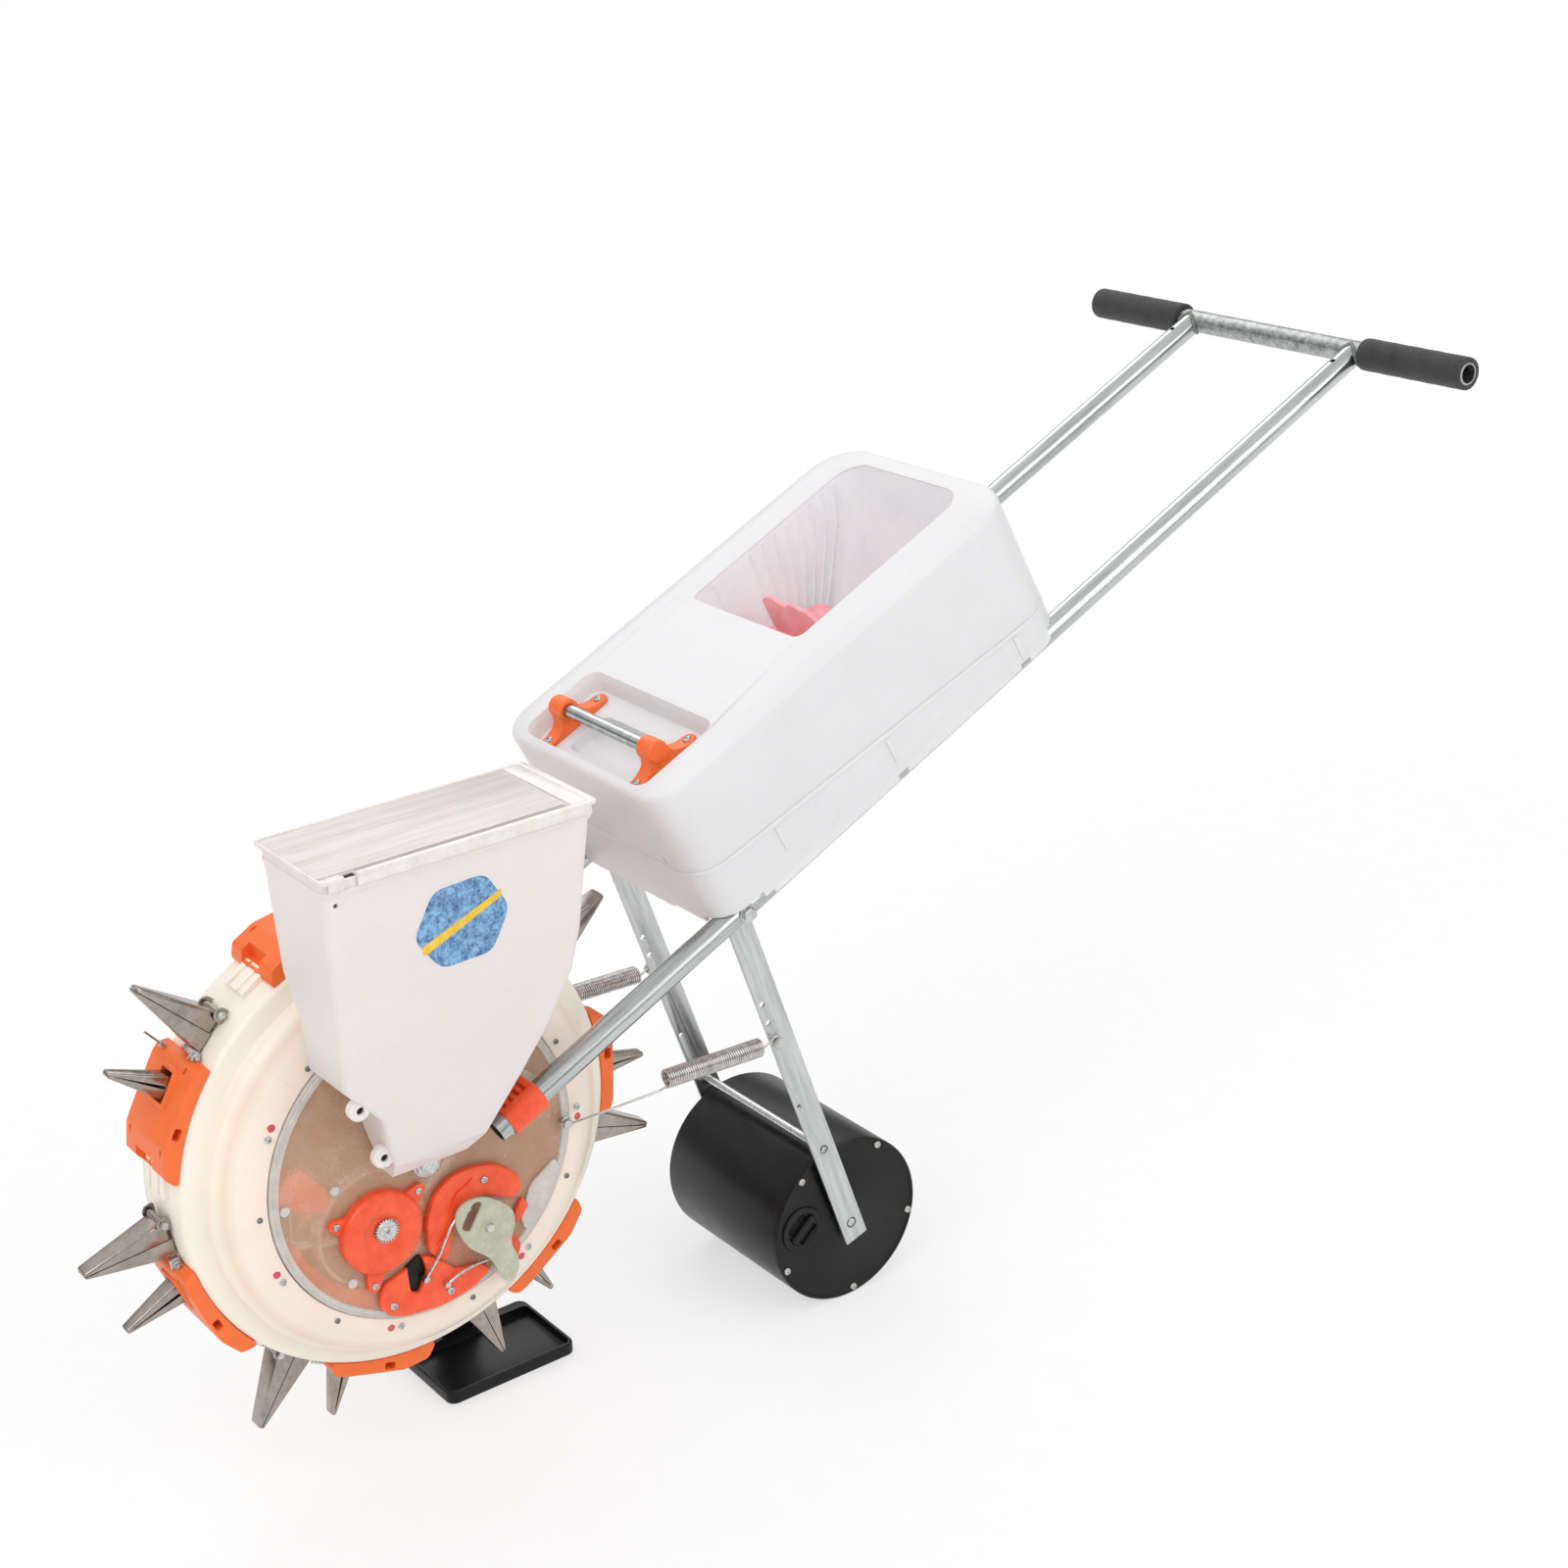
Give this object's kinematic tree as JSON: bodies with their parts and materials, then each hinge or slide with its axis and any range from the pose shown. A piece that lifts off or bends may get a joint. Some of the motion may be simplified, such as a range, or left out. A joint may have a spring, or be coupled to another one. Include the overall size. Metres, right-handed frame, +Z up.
{
  "type": "hand seeder",
  "caption": "Push-along seeder: bladed planting wheel with a side seed hopper, fertiliser box on two handle tubes, sprung press roller and parking foot.",
  "frame": {"origin": "on the ground under the middle of the overall length, midway between the two handle tubes", "axes": "+Z up, -Y the way the seeder is pushed, +X the operator's left, where the seed hopper is"},
  "size_m": [0.497, 1.3602, 0.8209],
  "materials": {
    "zinc_tube": "galvanised",
    "zinc_strip": "zinc plated",
    "stainless": "pressed, worn",
    "orange": "moulded",
    "nylon": "cast, slightly translucent",
    "clear": "clear",
    "milky": "translucent",
    "lid": "frosted",
    "foam": "closed-cell foam",
    "black": "moulded",
    "red": "moulded",
    "pale": "moulded"
  },
  "bodies": {
    "frame": {"left_tube": "zinc_tube", "right_tube": "zinc_tube", "cross_bar": "zinc_tube", "left_grip": "foam", "right_grip": "foam", "left_clamp": "orange", "right_clamp": "orange", "left_side_plate": "clear", "right_side_plate": "clear", "axle": "zinc_tube", "metering_housing": "orange", "seed_hopper": "milky", "box_tub": "milky", "box_shell": "milky", "carry_tube": "zinc_tube", "left_saddle": "orange", "right_saddle": "orange", "left_spring": "zinc_strip", "right_spring": "zinc_strip"},
    "wheel": {"wheel_drum": "nylon", "seed_jaw_1": "stainless", "seed_jaw_2": "stainless", "seed_jaw_3": "stainless", "seed_jaw_4": "stainless", "seed_jaw_5": "stainless", "seed_jaw_6": "stainless", "seed_jaw_7": "stainless", "fertiliser_block_1": "orange", "fertiliser_block_2": "orange", "fertiliser_block_3": "orange", "fertiliser_block_4": "orange", "fertiliser_block_5": "orange", "fertiliser_block_6": "orange", "fertiliser_block_7": "orange"},
    "lid": {"hopper_lid": "lid"},
    "seed_roller": {"seed_roller": "orange"},
    "brush_lever": {"brush_lever": "pale"},
    "agitator": {"agitator": "red"},
    "arms": {"left_arm": "zinc_strip", "right_arm": "zinc_strip", "cross_rod": "zinc_strip", "roller_axle": "zinc_strip"},
    "roller": {"roller_drum": "black", "roller_end": "black"},
    "filler_cap": {"filler_cap": "black"},
    "foot": {"parking_foot": "black"},
    "seed_flap_1": {"seed_flap_1": "stainless"},
    "fertiliser_bill_1": {"fertiliser_bill_1": "stainless"},
    "seed_flap_2": {"seed_flap_2": "stainless"},
    "fertiliser_bill_2": {"fertiliser_bill_2": "stainless"},
    "seed_flap_3": {"seed_flap_3": "stainless"},
    "fertiliser_bill_3": {"fertiliser_bill_3": "stainless"},
    "seed_flap_4": {"seed_flap_4": "stainless"},
    "fertiliser_bill_4": {"fertiliser_bill_4": "stainless"},
    "seed_flap_5": {"seed_flap_5": "stainless"},
    "fertiliser_bill_5": {"fertiliser_bill_5": "stainless"},
    "seed_flap_6": {"seed_flap_6": "stainless"},
    "fertiliser_bill_6": {"fertiliser_bill_6": "stainless"},
    "seed_flap_7": {"seed_flap_7": "stainless"},
    "fertiliser_bill_7": {"fertiliser_bill_7": "stainless"}
  },
  "joints": [
    {"name": "wheel_spin", "type": "hinge", "parent": "frame", "child": "wheel", "pos_m": [0, -0.40465, 0.3], "axis": [1, 0, 0], "continuous": true},
    {"name": "arm_swing", "type": "hinge", "parent": "frame", "child": "arms", "pos_m": [0, -0.09461, 0.44568], "axis": [1, 0, 0], "range_deg": [-6, 10], "stiffness_Nm_per_rad": 3, "springref_deg": -11.46, "deforming": ["left_spring", "right_spring"]},
    {"name": "roller_spin", "type": "hinge", "parent": "arms", "child": "roller", "pos_m": [0, 0.01965, 0.0822], "axis": [1, 0, 0], "continuous": true},
    {"name": "filler_cap_turn", "type": "hinge", "parent": "roller", "child": "filler_cap", "pos_m": [0.0875, -0.03156, 0.09123], "axis": [1, 0, 0], "range_deg": [0, 90]},
    {"name": "lid_slide", "type": "slide", "parent": "frame", "child": "lid", "axis": [0, -1, 0], "range_m": [0, 0.18]},
    {"name": "seed_roller_spin", "type": "hinge", "parent": "frame", "child": "seed_roller", "pos_m": [0.065, -0.43665, 0.245], "axis": [1, 0, 0], "continuous": true},
    {"name": "brush_lever_swing", "type": "hinge", "parent": "frame", "child": "brush_lever", "pos_m": [0.0905, -0.35865, 0.225], "axis": [1, 0, 0], "range_deg": [-12, 12]},
    {"name": "agitator_spin", "type": "hinge", "parent": "frame", "child": "agitator", "pos_m": [0, 0.07899, 0.61645], "axis": [1, 0, 0], "continuous": true},
    {"name": "foot_swing", "type": "hinge", "parent": "frame", "child": "foot", "pos_m": [-0.088, -0.40465, 0.3], "axis": [1, 0, 0], "range_deg": [-110, 0]},
    {"name": "seed_flap_open_1", "type": "hinge", "parent": "wheel", "child": "seed_flap_1", "pos_m": [0, -0.53884, 0.45722], "axis": [-1, 0, 0], "range_deg": [0, 15], "stiffness_Nm_per_rad": 0.2, "springref_deg": -28.65},
    {"name": "fertiliser_bill_rock_1", "type": "hinge", "parent": "wheel", "child": "fertiliser_bill_1", "pos_m": [0, -0.58132, 0.402], "axis": [1, 0, 0], "range_deg": [-4, 4], "stiffness_Nm_per_rad": 1},
    {"name": "seed_flap_open_2", "type": "hinge", "parent": "wheel", "child": "seed_flap_2", "pos_m": [0, -0.61124, 0.29311], "axis": [-1, 0, 0], "range_deg": [0, 15], "stiffness_Nm_per_rad": 0.2, "springref_deg": -28.65},
    {"name": "fertiliser_bill_rock_2", "type": "hinge", "parent": "wheel", "child": "fertiliser_bill_2", "pos_m": [0, -0.59455, 0.22547], "axis": [1, 0, 0], "range_deg": [-4, 4], "stiffness_Nm_per_rad": 1},
    {"name": "seed_flap_open_3", "type": "hinge", "parent": "wheel", "child": "seed_flap_3", "pos_m": [0, -0.52806, 0.13419], "axis": [-1, 0, 0], "range_deg": [0, 15], "stiffness_Nm_per_rad": 0.2, "springref_deg": -28.65},
    {"name": "fertiliser_bill_rock_3", "type": "hinge", "parent": "wheel", "child": "fertiliser_bill_3", "pos_m": [0, -0.46478, 0.10506], "axis": [1, 0, 0], "range_deg": [-4, 4], "stiffness_Nm_per_rad": 1},
    {"name": "seed_flap_open_4", "type": "hinge", "parent": "wheel", "child": "seed_flap_4", "pos_m": [0, -0.35196, 0.10013], "axis": [-1, 0, 0], "range_deg": [0, 15], "stiffness_Nm_per_rad": 0.2, "springref_deg": -28.65},
    {"name": "fertiliser_bill_rock_4", "type": "hinge", "parent": "wheel", "child": "fertiliser_bill_4", "pos_m": [0, -0.28973, 0.13145], "axis": [1, 0, 0], "range_deg": [-4, 4], "stiffness_Nm_per_rad": 1},
    {"name": "seed_flap_open_5", "type": "hinge", "parent": "wheel", "child": "seed_flap_5", "pos_m": [0, -0.21553, 0.21658], "axis": [-1, 0, 0], "range_deg": [0, 15], "stiffness_Nm_per_rad": 0.2, "springref_deg": -28.65},
    {"name": "fertiliser_bill_rock_5", "type": "hinge", "parent": "wheel", "child": "fertiliser_bill_5", "pos_m": [0, -0.20122, 0.28476], "axis": [1, 0, 0], "range_deg": [-4, 4], "stiffness_Nm_per_rad": 1},
    {"name": "seed_flap_open_6", "type": "hinge", "parent": "wheel", "child": "seed_flap_6", "pos_m": [0, -0.22151, 0.39584], "axis": [-1, 0, 0], "range_deg": [0, 15], "stiffness_Nm_per_rad": 0.2, "springref_deg": -28.65},
    {"name": "fertiliser_bill_rock_6", "type": "hinge", "parent": "wheel", "child": "fertiliser_bill_6", "pos_m": [0, -0.26589, 0.44954], "axis": [1, 0, 0], "range_deg": [-4, 4], "stiffness_Nm_per_rad": 1},
    {"name": "seed_flap_open_7", "type": "hinge", "parent": "wheel", "child": "seed_flap_7", "pos_m": [0, -0.3654, 0.50294], "axis": [-1, 0, 0], "range_deg": [0, 15], "stiffness_Nm_per_rad": 0.2, "springref_deg": -28.65},
    {"name": "fertiliser_bill_rock_7", "type": "hinge", "parent": "wheel", "child": "fertiliser_bill_7", "pos_m": [0, -0.43505, 0.50172], "axis": [1, 0, 0], "range_deg": [-4, 4], "stiffness_Nm_per_rad": 1}
  ],
  "couplings": [
    {"joint": "seed_roller_spin", "follows": "wheel_spin", "ratio": 3}
  ]
}
